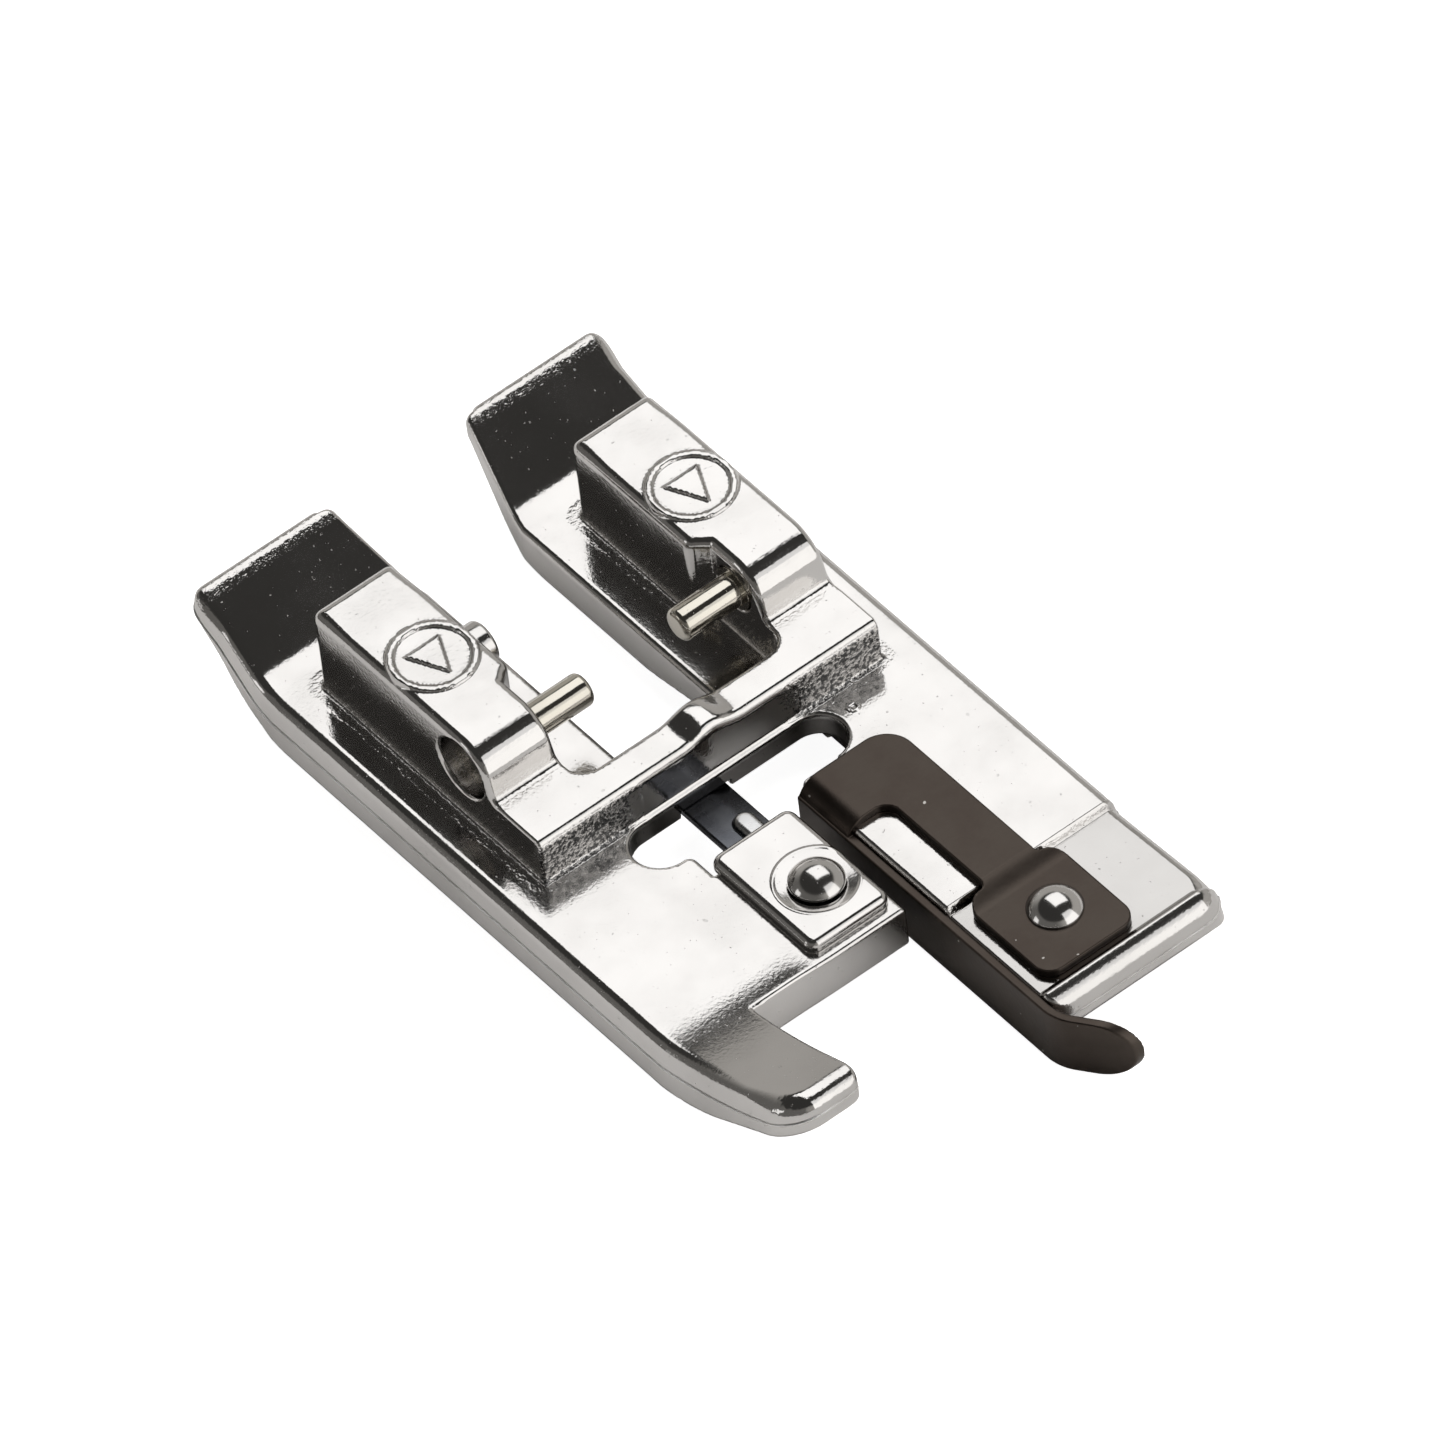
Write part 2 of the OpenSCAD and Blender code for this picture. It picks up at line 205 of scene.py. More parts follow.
SOLE_OUTLINE = (
    [(SOLE_HALF, 15)] + arc((9.95, 19.85), 0.7, 0, 90)
    + arc((-9.95, 19.85), 0.7, 90, 180) + [(-SOLE_HALF, 15), (-SOLE_HALF, -10)]
    + arc((-8.65, -16), 1.9, 180, 270) + [(0, -17.9), (0, TOE_FRONT)]
    + arc((9.75, -17.7), 1.5, 270, 360) + [(SOLE_HALF, -12)])
CHANNEL_OUTLINE = (
    [(-CHANNEL, BRIDGE_T), (CHANNEL, BRIDGE_T), (CHANNEL, 15.5)]
    + arc((3.95, 19.8), 0.55, 180, 90) + [(3.95, 24), (-3.95, 24)]
    + arc((-3.95, 19.8), 0.55, 90, 0) + [(-CHANNEL, 15.5)])
NOTCH_OUTLINE = (
    [(-6.85, TONGUE), (SLOT[0], TONGUE), (SLOT[0], -3.5), (SLOT[1], -3.5)]
    + arc((SLOT[1] + 1, -18.2), 1, 180, 270) + [(SLOT[1] + 1, -24), (-7.35, -24)]
    + arc((-7.35, -17.2), 0.7, 270, 360))
BLOCK_OUTLINE = (
    [(PIN_FACE, -2), (BLOCK_OUT, -2)] + arc((BLOCK_OUT - 0.4, BLOCK_END - 0.4), 0.4, 0, 90)
    + arc((BLOCK_IN + 0.4, BLOCK_END - 0.4), 0.4, 90, 180)
    + arc((BLOCK_IN + 0.45, 7.1), 0.45, 180, 245, 4)
    + [(PIN_FACE, 6.3)])
BLOCK_SIDE = (
    [(2.95, -1), (2.98, 4.4)] + arc((PIN_AT[0], BLOCK_Z - ROLL_R), ROLL_R, 165, 90, 12)
    + [(20, BLOCK_Z), (20, -1)])
BAR_OUTLINE = (
    [(-1, -2), (7, -2), (7, 3.6), (PIN_FACE, 3.6)]
    + arc((PIN_FACE - 1, BRIDGE_T + 1), 1, 0, -90) + [(-1, BRIDGE_T)])


def top_surface(x, y):
    """The sole's upper surface: its height, and its slope as an angle."""
    heel, heel_angle = rise(y - HEEL_BEND + HEEL_LEAD, HEEL_R, HEEL_SLOPE)
    toe, toe_angle = rise(TOE_TOP[0] - y, *TOE_TOP[1:])
    left = ease(-x, *TOE_SIDE)
    recess = ease(-y, -RECESS[1], -RECESS[1] + RECESS_REAR_STEP)
    recess = recess * ease(y, RECESS[0] - RECESS_FRONT_STEP, RECESS[0]) * (x > TOE_SPLIT)
    return (SOLE_T + heel + left * toe + (RECESS_Z - SOLE_T) * recess,
            heel_angle + left * toe_angle)


def under_surface(x, y):
    """The sole's underside: its height, and its slope as an angle."""
    heel, heel_angle = rise(y - HEEL_UNDER[0], *HEEL_UNDER[1:])
    toe, toe_angle = rise(TOE_UNDER[0] - y, *TOE_UNDER[1:])
    left = ease(-x, *TOE_SIDE)
    return heel + left * toe, heel_angle + left * toe_angle


def sole(x, y, z):
    """The plate that everything stands on, with the gap between its rails and its toes."""
    top, top_angle = top_surface(x, y)
    under, under_angle = under_surface(x, y)
    over = (z - top) * np.cos(top_angle)
    below = (under - z) * np.cos(under_angle)
    inset = np.interp(top - z, SIDE_DEPTH, SIDE_INSET) * (1 - 0.7 * ease(y, 18.5, 19.8))
    side = (outline(x, y, SOLE_OUTLINE) + inset) * SIDE_LEAN
    toe = np.where(x > TOE_SPLIT, ease(-y, 17, 18), ease(-y, 14.5, 16.5))
    edge_r = EDGE_R + 0.15 * ease(y, 18, 19.5) + 0.35 * toe
    shape = meet(meet(over, side, edge_r), below, 0.15)
    front_edge = meet(TOE_FRONT - y, -z, 1.1)
    everywhere = -9
    shape = meet(shape, np.where(x > 1.5, front_edge, everywhere))
    shape = cut(shape, outline(x, y, CHANNEL_OUTLINE), 0.3)
    return cut(shape, outline(x, y, NOTCH_OUTLINE), 0.22)


def needle_opening(x, y):
    """The opening's plan: a wide slot with round ends, and a part that runs to the plate."""
    middle = rectangle(x, y, (-3.5, -4.3), (SLOT[1], -1.2))
    across = rectangle(x, y, (-3.95, -2.8), (4.1, -0.2))
    lobes = np.minimum(circle(x, y, (-3.95, -1.5), 1.3), circle(x, y, (4.1, -1.45), 1.25))
    return np.minimum(join(middle, across, 0.4), lobes)


def bridge_section(y, z, top):
    """The bridge's section: its front face leans back a little below the top edge."""
    lean = 0.82 * -y + 0.57 * (z - top + 0.3)
    return meet(meet(-y, lean, 0.1), z - top, 0.12)


def bridge(x, y, z):
    """The bar across the channel, with a soft hump in its middle."""
    across = np.cos(np.clip((x - 0.2) / 1.6, -1, 1) * math.pi / 2) ** 2
    hump = HUMP * across * (1 - 0.3 * (y - 1) ** 2)
    bar = meet(outline(np.abs(x), y, BAR_OUTLINE), bridge_section(y, z, BRIDGE_Z + hump), 0.3)
    return np.maximum(bar, TUNNEL_Z - z)


def blocks(x, y, z):
    """The two hinge blocks, each with the end of the bridge in front of it.

    Their edges are sharp at the bridge, and rounder towards the rear.
    """
    end = meet(bridge_section(y, z, BRIDGE_Z), y - 3.6)
    section = join(end, outline(y, z, BLOCK_SIDE), 0.25)
    edge_r = 0.14 + 0.3 * ease(y, 2, 4.5) + 0.12 * ease(y, 12, 14)
    return meet(outline(np.abs(x), y, BLOCK_OUTLINE), section, edge_r)


def direction_mark(x, y, z):
    """A raised ring with a plain arrowhead that points to the front."""
    at = ((BLOCK_IN + BLOCK_OUT) / 2, 9.1)
    ax = np.abs(x)
    ring = np.abs(circle(ax, y, at, 1.74)) - 0.14
    arrow = outline(ax - at[0], y - at[1], [(0, -1.1), (0.85, 0.7), (-0.85, 0.7)])
    return meet(np.minimum(ring, arrow), slab(z, BLOCK_Z - 0.3, BLOCK_Z + 0.13), 0.08)


def pin_holes(x, y, z):
    """The bores of the two pins, and the wider mouths in the blocks' outer faces."""
    ax = np.abs(x)
    axis = hypot(y - PIN_AT[0], z - PIN_AT[1])
    bore = np.maximum(axis - BORE_R, BORE_END - ax)
    mouth = np.maximum(axis - MOUTH_R, MOUTH_END - ax)
    return np.minimum(bore, mouth)


def foot_body(x, y, z):
    """The whole casting, with all its openings and holes."""
    upper = np.minimum(blocks(x, y, z), bridge(x, y, z))
    shape = join(sole(x, y, z), upper, 0.15)
    shape = join(shape, direction_mark(x, y, z), 0.1)
    tick = np.maximum(np.abs(circle(x, y, (6.2, -1.2), 0.22)) - 0.06, z - SOLE_T - 0.05)
    shape = join(shape, tick, 0.05)
    shape = cut(shape, needle_opening(x, y), 0.2)
    roof = np.interp(y, TUNNEL_FLARE, (TUNNEL_Z, 0))
    tunnel = rectangle(x, y, (-TUNNEL_SIDE, TUNNEL_FRONT), (TUNNEL_SIDE, TUNNEL_FLARE[1]))
    tunnel = np.maximum(tunnel, z - roof)
    groove = np.maximum(rectangle(x, y, (-1.95, -9.6), (0.6, 1.6)), z - GROOVE_Z)
    shape = cut(shape, np.minimum(tunnel, groove), 0.1)
    return cut(shape, pin_holes(x, y, z), 0.15)


def casting_grain_and_shade(x, y, z):
    """Grain on the faces, up to 2 on the bridge's front, and painted shade in the opening, tunnel
    and recess.
    """
    ax = np.abs(x)
    side, top = 8.95, 4.3     # just past the bridge's end, and just below its top edge
    face = 2 * ease(0.35 - np.abs(y), 0, 0.15) * ease(ax, 3.4, 4.6) * ease(side - ax, 0, 0.2)
    face = face * ease(top - z, 0, 0.2) * (z > SOLE_T - 0.02)
    heel_end = ease(y, 19.2, 19.9)
    grain = np.maximum(face, 0.5 * heel_end)
    # painted shade: how much the colour darkens on the needle opening's walls, inside the tunnel
    # and on the recess floor
    opening = ease(0.15 - needle_opening(x, y), 0, 0.1) * ease(SOLE_T - z, 0.1, 0.35)
    roof = np.interp(y, TUNNEL_FLARE, (TUNNEL_Z, 0))
    middle, half = 2.45, 5.9  # of the tunnel's length, with a little to spare
    tunnel = (ax < 5.7) & (np.abs(y - middle) < half) & (z < roof + 0.06) & (z > 0.06)
    recess = 0.3 * ease(-y, 12, 12.4) * ease(SOLE_T - z, 0.25, 0.35) * (x > 2.2) * (y > -18)
    recess = recess * (z > RECESS_Z - 0.05)
    return grain, np.maximum(np.maximum(opening, tunnel), recess)


# -------------------------------------------------------- plate and finger

RIB = 0.33                # height of the rib on the finger
PLATE_LOW, PLATE_HIGH, PLATE_T = (-3.4, -10.4), (0.75, -3.85), 0.6
DISH = 0.1                # how deep the plate is dished
FINGER_RIVET = (-1, -7.8)
GUIDE_RIVET = (5.33, -15)


def clamp_plate(x, y, z):
    """A small plate with rounded edges, dished a little round its rivet."""
    plan = rectangle(x, y, PLATE_LOW, PLATE_HIGH, 0.5)
    off = circle(x, y, FINGER_RIVET, 0)
    line = 0.03 * np.exp(-((off - 1.78) / 0.07) ** 2)
    dish = DISH * np.clip((1.7 - off) / 0.5, 0, 1)
    top = z - SOLE_T - PLATE_T + dish - line
    return meet(meet(plan, SOLE_T - z, 0.05), top, 0.38)


def stitch_finger(x, y, z):
    """A flat bar that falls away on its right side, with a short pressed rib."""
    plan = rectangle(x, y, (-1.85, -9.4), (0.5, 1.5), 0.5)
    shape = meet(plan, slab(z, GROOVE_Z - 0.4, GROOVE_Z), 0.06)
    shape = meet(shape, 0.276 * (x + 0.45) + 0.961 * (z - GROOVE_Z), 0.05)
    rib = rectangle(x, y, (-0.95, -5), (0.05, -1.9), 0.5)
    return join(shape, meet(rib, slab(z, GROOVE_Z - 0.2, GROOVE_Z + RIB), 0.3), 0.08)


# -------------------------------------------------------------- edge guide

SHEET = 0.4
BLADE_X = 1.65            # outer face of the upright blade
BLADE_LOW, BLADE_TOP = -1, 1.94
BEND_R = 1.1
GUIDE_REAR, BEND_END = -3.15, -6.28
STRIP = (3.87, 6.53)      # the flat strip that runs to the toe
JOGGLE = (-13.3, -11.9)
CURL_Y, CURL_R, CURL_TURN, CURL_RUN = -18.6, 2.3, 35, 2.6


def blade(x, y, z):
    """The upright blade, with its curl at the front and its round tip."""
    turn = math.radians(CURL_TURN)
    dx, dy = x - BLADE_X - CURL_R, y - CURL_Y
    mid = CURL_R - SHEET / 2
    straight = -dx - mid
    curl = hypot(dx, dy) - mid
    end = -dx * math.cos(turn) - dy * math.sin(turn) - mid
    path = np.where(dy > 0, straight, np.where(np.arctan2(-dy, -dx) < turn, curl, end))
    front = CURL_Y - CURL_R * math.sin(turn) - CURL_RUN * math.cos(turn)
    tall = (BLADE_TOP - BLADE_LOW) / 2
    side = rectangle(y, z, (front, BLADE_LOW), (0, BLADE_TOP), tall)
    side = np.where(y > CURL_Y, slab(z, BLADE_LOW, BLADE_TOP), side)
    side = np.maximum(side, y - GUIDE_REAR)
    return meet(np.abs(path) - SHEET / 2, side, 0.07)


def edge_guide(x, y, z):
    flat = SOLE_T + SHEET / 2
    # over the deck, and bent down into the blade at its rear end
    section = meet(z - flat, BLADE_X + SHEET / 2 - x, BEND_R - SHEET / 2)
    bend = rectangle(x, y, (BLADE_X - 1, BEND_END), (STRIP[0] + 1, GUIDE_REAR))
    strip = rectangle(x, y, (STRIP[0], -14), (STRIP[1], GUIDE_REAR), 0.01)
    corner = rectangle(x, y, (0, -14), (STRIP[1], GUIDE_REAR), 1.35)
    deck = meet(join(bend, strip, 0.7), corner)
    bent = meet(np.abs(section) - SHEET / 2, np.maximum(deck, JOGGLE[1] - 0.3 - y), 0.07)
    bent = np.maximum(bent, BLADE_LOW - z)
    # the joggle down to the pad in the toe's recess
    drop = SOLE_T - RECESS_Z
    level = RECESS_Z + SHEET / 2 + drop * ease(y, *JOGGLE)
    share = np.clip((y - JOGGLE[0]) / (JOGGLE[1] - JOGGLE[0]), 0, 1)
    fall = 6 * share * (1 - share) * drop / (JOGGLE[1] - JOGGLE[0])
    tongue = rectangle(x, y, (STRIP[0], -15), (STRIP[1], JOGGLE[1] + 0.5), 0.01)
    pad = rectangle(x, y, (2.75, -17.65), (7.5, -12.4), 0.85)
    low = np.abs(z - level) / np.sqrt(1 + fall ** 2) - SHEET / 2
    low = meet(low, join(tongue, pad, 0.25), 0.07)
    return np.minimum(np.minimum(bent, low), blade(x, y, z))


# -------------------------------------------------------------- mesh tools


def surface_nets(field, low, step):
    """Corners and four-sided faces of a field's zero surface, one corner per crossed cell."""
    inside = field < 0
    count = sum(inside[i:i - 1 or None, j:j - 1 or None, k:k - 1 or None].astype(np.int8)
                for i in (0, 1) for j in (0, 1) for k in (0, 1))
    cells = np.argwhere((count > 0) & (count < 8))
    number = np.full(count.shape, -1, np.int32)
    number[tuple(cells.T)] = np.arange(len(cells))
    total = np.zeros((len(cells), 3))
    hits = np.zeros(len(cells))
    for axis in range(3):
        ahead = np.eye(3, dtype=int)[axis]
        others = [a for a in range(3) if a != axis]
        for first in (0, 1):
            for second in (0, 1):
                corner = cells.copy()
                corner[:, others[0]] += first
                corner[:, others[1]] += second
                a = field[tuple(corner.T)]
                b = field[tuple((corner + ahead).T)]
                crossed = (a < 0) != (b < 0)
                share = np.where(crossed, a / np.where(crossed, a - b, 1), 0)
                point = corner + share[:, None] * ahead
                total += point * crossed[:, None]
                hits += crossed
    points = low + step * total / hits[:, None]
    faces = []
    for axis in range(3):
        ahead = np.eye(3, dtype=int)[axis]
        u, v = np.eye(3, dtype=int)[(axis + 1) % 3], np.eye(3, dtype=int)[(axis + 2) % 3]
        near = inside[:-1] if axis == 0 else inside[:, :-1] if axis == 1 else inside[:, :, :-1]
        far = inside[1:] if axis == 0 else inside[:, 1:] if axis == 1 else inside[:, :, 1:]
        at = np.argwhere(near != far)
        ring = [number[tuple((at - a * u - b * v).T)] for a, b in ((0, 0), (1, 0), (1, 1), (0, 1))]
        quads = np.stack(ring, 1)
        flip = ~near[tuple(at.T)]
        quads[flip] = quads[flip][:, ::-1]
        faces.append(quads)
    return points, np.concatenate(faces)


def gradient(shape, points, gap=0.004):
    """Direction in which the field grows at each point."""
    x, y, z = points.T
    slopes = [shape(x + gap, y, z) - shape(x - gap, y, z),
              shape(x, y + gap, z) - shape(x, y - gap, z),
              shape(x, y, z + gap) - shape(x, y, z - gap)]
    return np.stack(slopes, 1) / (2 * gap)


def settle(shape, points, rounds=2):
    """Points moved onto the shape's surface, and the surface's normals there."""
    for _ in range(rounds):
        slope = gradient(shape, points)
        size = np.maximum((slope ** 2).sum(1), 0.2)
        step = np.clip(shape(*points.T) / size, -0.1, 0.1)
        points = points - step[:, None] * slope
    slope = gradient(shape, points, 0.015)
    return points, slope / np.maximum(np.linalg.norm(slope, axis=1), 1e-6)[:, None]


def cavity(shape, points, normals, reach=0.7):
    """How far each point lies in a hollow, from 0 on open surfaces to 1."""
    return np.clip(1 - shape(*(points + reach * normals).T) / reach, 0, 1)


def new_object(name, points, faces):
    """A mesh object from arrays of points and of faces, which all have as many corners."""
    mesh = bpy.data.meshes.new(name)
    corners_per_face = faces.shape[1]
    mesh.vertices.add(len(points))
    mesh.vertices.foreach_set("co", points.astype(np.float32).ravel())
    mesh.loops.add(faces.size)
    mesh.loops.foreach_set("vertex_index", faces.astype(np.int32).ravel())
    mesh.polygons.add(len(faces))
    starts = np.arange(0, faces.size, corners_per_face, dtype=np.int32)
    mesh.polygons.foreach_set("loop_start", starts)
    mesh.update(calc_edges=True)
    mesh.validate()
    piece = bpy.data.objects.new(name, mesh)
    bpy.context.collection.objects.link(piece)
    return piece


def thin_out(piece, ratio):
    """Fewer faces where the surface is flat."""
    modifier = piece.modifiers.new("thin", "DECIMATE")
    modifier.ratio = ratio
    graph = bpy.context.evaluated_depsgraph_get()
    mesh = bpy.data.meshes.new_from_object(piece.evaluated_get(graph))
    piece.modifiers.clear()
    piece.data = mesh


def sculpt(name, shape, low, high, step, ratio=1.0, grain_and_shade=None):
    """A piece made from a field: its mesh lies on the field's surface, with exact normals.

    It carries how hollow or grainy each spot is as cavity, and how much shade is painted on it as
    a second attribute.
    """
    low = np.array(low, float)
    counts = np.ceil((np.array(high) - low) / step).astype(int) + 1
    x, y, z = (low[i] + step * np.arange(counts[i]) for i in range(3))
    field = shape(x[:, None, None].astype(np.float32), y[None, :, None].astype(np.float32),
                  z[None, None, :].astype(np.float32))
    points, faces = surface_nets(field, low, step)
    piece = new_object(name, points, faces)
    if ratio < 1:
        thin_out(piece, ratio)
    mesh = piece.data
    points = np.empty(len(mesh.vertices) * 3, np.float32)
    mesh.vertices.foreach_get("co", points)
    points, normals = settle(shape, points.reshape(-1, 3).astype(float))
    mesh.vertices.foreach_set("co", ((points + DATUM) * MM).astype(np.float32).ravel())
    mesh.polygons.foreach_set("use_smooth", np.ones(len(mesh.polygons), bool))
    hollow = cavity(shape, points, normals)
    if grain_and_shade:
        # the second value is painted shade, kept on the mesh so that the material darkens its
        # colour there
        grain, painted_shade = grain_and_shade(*points.T)
        hollow = np.maximum(hollow, grain)
        values = mesh.attributes.new("painted_shade", "FLOAT", "POINT")
        values.data.foreach_set("value", painted_shade.astype(np.float32))
    values = mesh.attributes.new("cavity", "FLOAT", "POINT")
    values.data.foreach_set("value", hollow.astype(np.float32))
    mesh.update()
    mesh.normals_split_custom_set_from_vertices(normals)
    return piece


def seam(name):
    """The fine raised line that the mould's two halves leave along the sole's side."""
    path = []
    for a, b in zip(SOLE_OUTLINE, SOLE_OUTLINE[1:] + SOLE_OUTLINE[:1]):
        steps = max(1, round(math.dist(a, b) / 0.25))
        path += [(a[0] + (b[0] - a[0]) * i / steps, a[1] + (b[1] - a[1]) * i / steps)
                 for i in range(steps)]
    x, y = np.array(path).T
    wanted = np.stack([x, y, top_surface(x, y)[0] - SEAM_DEPTH], 1)
    points, normals = settle(sole, wanted, 4)
    sound = (np.abs(sole(*points.T)) < 0.01) & (np.abs(points - wanted).max(1) < 0.4)
    sides = 6
    corners_at, faces = [], []
    for k in range(len(points)):
        ahead = np.array(points[(k + 1) % len(points)]) - points[k - 1]
        up = np.cross(normals[k], ahead / np.linalg.norm(ahead))
        for j in range(sides):
            angle = 2 * math.pi * j / sides
            spot = points[k] + SEAM_R * (math.cos(angle) * normals[k] + math.sin(angle) * up)
            corners_at.append((spot + DATUM) * MM)
        after = (k + 1) % len(points)
        if sound[k] and sound[after]:
            faces += [(k * sides + j, k * sides + (j + 1) % sides,
                       after * sides + (j + 1) % sides, after * sides + j) for j in range(sides)]
    used, faces = np.unique(np.array(faces), return_inverse=True)
    piece = new_object(name, np.array(corners_at)[used], faces.reshape(-1, 4))
    piece.data.polygons.foreach_set("use_smooth", np.ones(len(faces), bool))
    return piece


def lathe(name, profile, at, axis, segments=96):
    """A turned piece: its profile is (height, radius) pairs along the axis from at."""
    axis = Vector(axis)
    turn = axis.to_track_quat("Z", "X").to_matrix()
    points, faces = [], []
    for height, radius in profile:
        for i in range(segments):
            angle = 2 * math.pi * i / segments
            spot = turn @ Vector((radius * math.cos(angle), radius * math.sin(angle), height))
            points.append((np.array(at) + np.array(spot) + DATUM) * MM)
    for ring in range(len(profile) - 1):
        for i in range(segments):
            a, b = ring * segments + i, ring * segments + (i + 1) % segments
            faces.append((a, b, b + segments, a + segments))
    faces.append(tuple(range(segments))[::-1])
    faces.append(tuple(range(len(points) - segments, len(points))))
    mesh = bpy.data.meshes.new(name)
    mesh.from_pydata([tuple(p) for p in points], [], faces)
    mesh.polygons.foreach_set("use_smooth", np.ones(len(mesh.polygons), bool))
    mesh.set_sharp_from_angle(angle=math.radians(35))
    piece = bpy.data.objects.new(name, mesh)
    bpy.context.collection.objects.link(piece)
    return piece


def round_edge(height, radius, r, start, end, steps=8):
    """Profile points of an edge rounded to r, whose corner would be at (height, radius)."""
    return [(height - r + h, radius - r + w) for w, h in arc((0, 0), r, start, end, steps)]


def pin(name, side):
    """A hinge pin: a shank in the block, and a free end with a rounded edge."""
    shank, shank_r, free_r = 2.2, 1.0, 0.75
    free = PIN_FACE - PIN_END
    profile = [(-shank, shank_r), (0, shank_r), (0, free_r)]
    profile += round_edge(free, free_r, 0.28, 0, 90)
    return lathe(name, profile, (side * PIN_FACE, *PIN_AT), (-side, 0, 0))


def stud(name):
    """The locating stud on the left block's inner face."""
    shank, shank_r, head_r, head_end = 1.5, 0.6, 1.0, 3.85
    profile = [(-shank, shank_r), (0, shank_r), (0, head_r)]
    profile += round_edge(BLOCK_IN - head_end, head_r, 0.22, 0, 90)
    return lathe(name, profile, (-BLOCK_IN, 9.4, 5.3), (1, 0, 0))


def rivet(name, at, seat, tail):
    """A domed head on a short collar, its shank, and the closed end below."""
    base, height, collar = 1.18, 0.75, 0.08
    ball = (base ** 2 + (height - collar) ** 2) / (2 * (height - collar))
    half = math.degrees(math.asin(base / ball))
    dome = [(seat + height - ball + ball * math.cos(math.radians(half * (1 - i / 20))),
             ball * math.sin(math.radians(half * (1 - i / 20)))) for i in range(21)]
    dome[-1] = (dome[-1][0], 0.004)
    tail_r, tail_height, shank_r = 1.0, 0.35, 0.6
    profile = [(tail, tail_r), (tail + tail_height, tail_r), (tail + tail_height, shank_r),
               (seat, shank_r), (seat, base)]
    return lathe(name, profile + dome, (*at, 0), (0, 0, 1))


def stands_for(piece, node):
    """Puts a piece in a CAD node's place."""
    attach(piece, "root")
    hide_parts(node)
    return piece


body = stands_for(
    sculpt("body_casting", foot_body, (-11.5, -19.7, -0.3), (11.5, 21, 7.2), 0.11, 0.5,
           casting_grain_and_shade),
    "foot_body")
parting_line = seam("parting_line")
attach(parting_line, "root")
plate = stands_for(
    sculpt("clamp_plate", clamp_plate, (-3.7, -10.7, 2), (1.1, -3.5, 3.1), 0.045, 0.6),
    "finger_clamp_plate")
finger = stands_for(
    sculpt("finger_bar", stitch_finger, (-2.2, -9.8, 0.6), (0.9, 1.9, 1.9), 0.07, 0.5),
    "stitch_finger")
guide = stands_for(
    sculpt("guide_sheet", edge_guide, (1.4, -22.4, -1.3), (7.9, -2.9, 2.9), 0.07, 0.6),
    "edge_guide")
pins = [stands_for(pin("left_pin", -1), "left_hinge_pin"),
        stands_for(pin("right_pin", 1), "right_hinge_pin")]
side_stud = stands_for(stud("stud"), "locating_stud")
rivets = [stands_for(rivet("plate_rivet", FINGER_RIVET, SOLE_T + PLATE_T, 0.55),
                     "finger_rivet"),
          stands_for(rivet("pad_rivet", GUIDE_RIVET, RECESS_Z + SHEET, 0.15),
                     "guide_rivet")]

# --------------------------------------------------------------- materials


class Shader:
    """A material's node tree, with short ways to add and join nodes."""

    def __init__(self, name):
        self.material = bpy.data.materials.new(name)
        self.material.use_nodes = True
        self.tree = self.material.node_tree
        self.surface = self.tree.nodes["Principled BSDF"]
        self.place = self.add("TexCoord").outputs["Object"]

    def add(self, kind, **settings):
        node = self.tree.nodes.new("ShaderNode" + kind)
        for key, value in settings.items():
            setattr(node, key, value)
        return node

    def feed(self, socket, value):
        """Joins a socket to another one, or gives it a constant."""
        if isinstance(value, bpy.types.NodeSocket):
            self.tree.links.new(value, socket)
        else:
            socket.default_value = value

    def noise(self, per_mm, detail=2, stretch=(1, 1, 1)):
        """Noise with the given number of features in a millimetre."""
        mapping = self.add("Mapping")
        mapping.inputs["Scale"].default_value = [per_mm * k / MM for k in stretch]
        self.feed(mapping.inputs["Vector"], self.place)
        node = self.add("TexNoise")
        node.inputs["Scale"].default_value = 1
        node.inputs["Detail"].default_value = detail
        self.feed(node.inputs["Vector"], mapping.outputs["Vector"])
        return node.outputs["Fac"]

    def math(self, kind, a, b=0.0, c=0.0):
        node = self.add("Math", operation=kind)
        for socket, value in zip(node.inputs, (a, b, c)):
            self.feed(socket, value)
        return node.outputs[0]

    def band(self, value, low, high, to_low=0.0, to_high=1.0):
        """A smooth step of value from low to high."""
        node = self.add("MapRange", interpolation_type="SMOOTHSTEP")
        for socket, number in zip(node.inputs, (value, low, high, to_low, to_high)):
            self.feed(socket, number)
        return node.outputs["Result"]

    def blend(self, share, a, b):
        """Colour a where share is 0, and b where it is 1."""
        node = self.add("Mix", data_type="RGBA")
        self.feed(node.inputs["Factor"], share)
        self.feed(node.inputs["A"], a)
        self.feed(node.inputs["B"], b)
        return node.outputs["Result"]

    def bump(self, height, millimetres):
        """Relief: height 1 stands this far out."""
        node = self.add("Bump")
        node.inputs["Distance"].default_value = millimetres * MM
        self.feed(node.inputs["Height"], height)
        self.feed(self.surface.inputs["Normal"], node.outputs["Normal"])

    def set(self, **values):
        """Sets or joins sockets of the surface, by name."""
        for key, value in values.items():
            self.feed(self.surface.inputs[key.replace("_", " ")], value)


